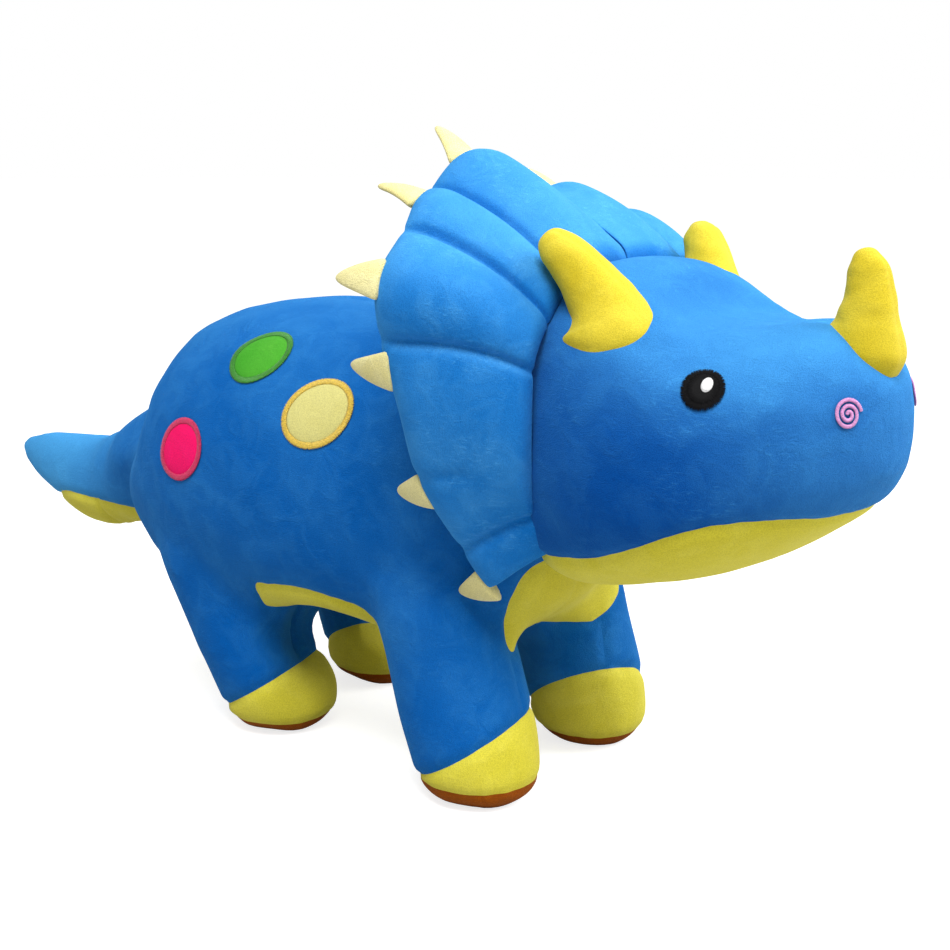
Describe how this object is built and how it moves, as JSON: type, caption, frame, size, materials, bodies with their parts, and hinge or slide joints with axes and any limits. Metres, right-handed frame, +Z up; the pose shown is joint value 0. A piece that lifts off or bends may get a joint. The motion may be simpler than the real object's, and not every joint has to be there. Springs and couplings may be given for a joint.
{
  "type": "stuffed dinosaur",
  "caption": "Stuffed three-horned dinosaur standing on four legs, with a padded neck frill, felt frill spikes and a sprung head and tail.",
  "frame": {"origin": "bottom centre of the bounding box: the soles rest on z = 0, x = 0 is the middle seam", "axes": "+Z up, -Y the way the toy looks, +X the toy's own left side"},
  "size_m": [0.2324, 0.594, 0.2813],
  "materials": {
    "blue_plush": "short pile plush, soft sheen",
    "yellow_plush": "short pile plush",
    "brown_suede": "ribbed suede cloth",
    "cream_felt": "felt",
    "green_plush": "short pile plush",
    "cream_plush": "short pile plush",
    "pink_plush": "short pile plush",
    "black_thread": "satin stitch",
    "white_thread": "satin stitch",
    "lilac_thread": "satin stitch",
    "fibre_filling": "loose polyester fibre"
  },
  "bodies": {
    "torso": {"belly_panel": "yellow_plush", "torso_side_right": "blue_plush", "front_inner_leg_right": "blue_plush", "front_toe_cap_right": "yellow_plush", "front_sole_right": "brown_suede", "front_leg_filling_right": "fibre_filling", "rear_inner_leg_right": "blue_plush", "rear_toe_cap_right": "yellow_plush", "rear_sole_right": "brown_suede", "rear_leg_filling_right": "fibre_filling", "spot_green_right": "green_plush", "spot_cream_right": "cream_plush", "spot_pink_right": "pink_plush", "torso_side_left": "blue_plush", "front_inner_leg_left": "blue_plush", "front_toe_cap_left": "yellow_plush", "front_sole_left": "brown_suede", "front_leg_filling_left": "fibre_filling", "rear_inner_leg_left": "blue_plush", "rear_toe_cap_left": "yellow_plush", "rear_sole_left": "brown_suede", "rear_leg_filling_left": "fibre_filling", "spot_green_left": "green_plush", "spot_cream_left": "cream_plush", "spot_pink_left": "pink_plush", "torso_filling": "fibre_filling"},
    "head": {"head_side_right": "blue_plush", "frill_spike_right_1": "cream_felt", "frill_spike_right_2": "cream_felt", "frill_spike_right_3": "cream_felt", "frill_spike_right_4": "cream_felt", "frill_spike_right_5": "cream_felt", "frill_spike_right_6": "cream_felt", "brow_horn_right_cover": "yellow_plush", "brow_horn_right_filling": "fibre_filling", "eye_right": "black_thread", "eye_glint_right": "white_thread", "cheek_spiral_right": "lilac_thread", "head_side_left": "blue_plush", "frill_spike_left_1": "cream_felt", "frill_spike_left_2": "cream_felt", "frill_spike_left_3": "cream_felt", "frill_spike_left_4": "cream_felt", "frill_spike_left_5": "cream_felt", "frill_spike_left_6": "cream_felt", "brow_horn_left_cover": "yellow_plush", "brow_horn_left_filling": "fibre_filling", "eye_left": "black_thread", "eye_glint_left": "white_thread", "cheek_spiral_left": "lilac_thread", "jaw_panel": "yellow_plush", "head_filling": "fibre_filling", "frill_front_panel": "blue_plush", "frill_back_panel": "blue_plush", "frill_padding": "fibre_filling", "nose_horn_cover": "yellow_plush", "nose_horn_filling": "fibre_filling"},
    "tail": {"tail_back_panel": "blue_plush", "tail_under_panel": "yellow_plush", "tail_filling": "fibre_filling"}
  },
  "joints": [
    {"name": "head_nod", "type": "hinge", "parent": "torso", "child": "head", "pos_m": [0, -0.13, 0.16], "axis": [1, 0, 0], "range_deg": [-6, 6], "stiffness_Nm_per_rad": 8},
    {"name": "tail_sway", "type": "hinge", "parent": "torso", "child": "tail", "pos_m": [0, 0.178, 0.0995], "axis": [0, 0, 1], "range_deg": [-20, 20], "stiffness_Nm_per_rad": 1}
  ]
}
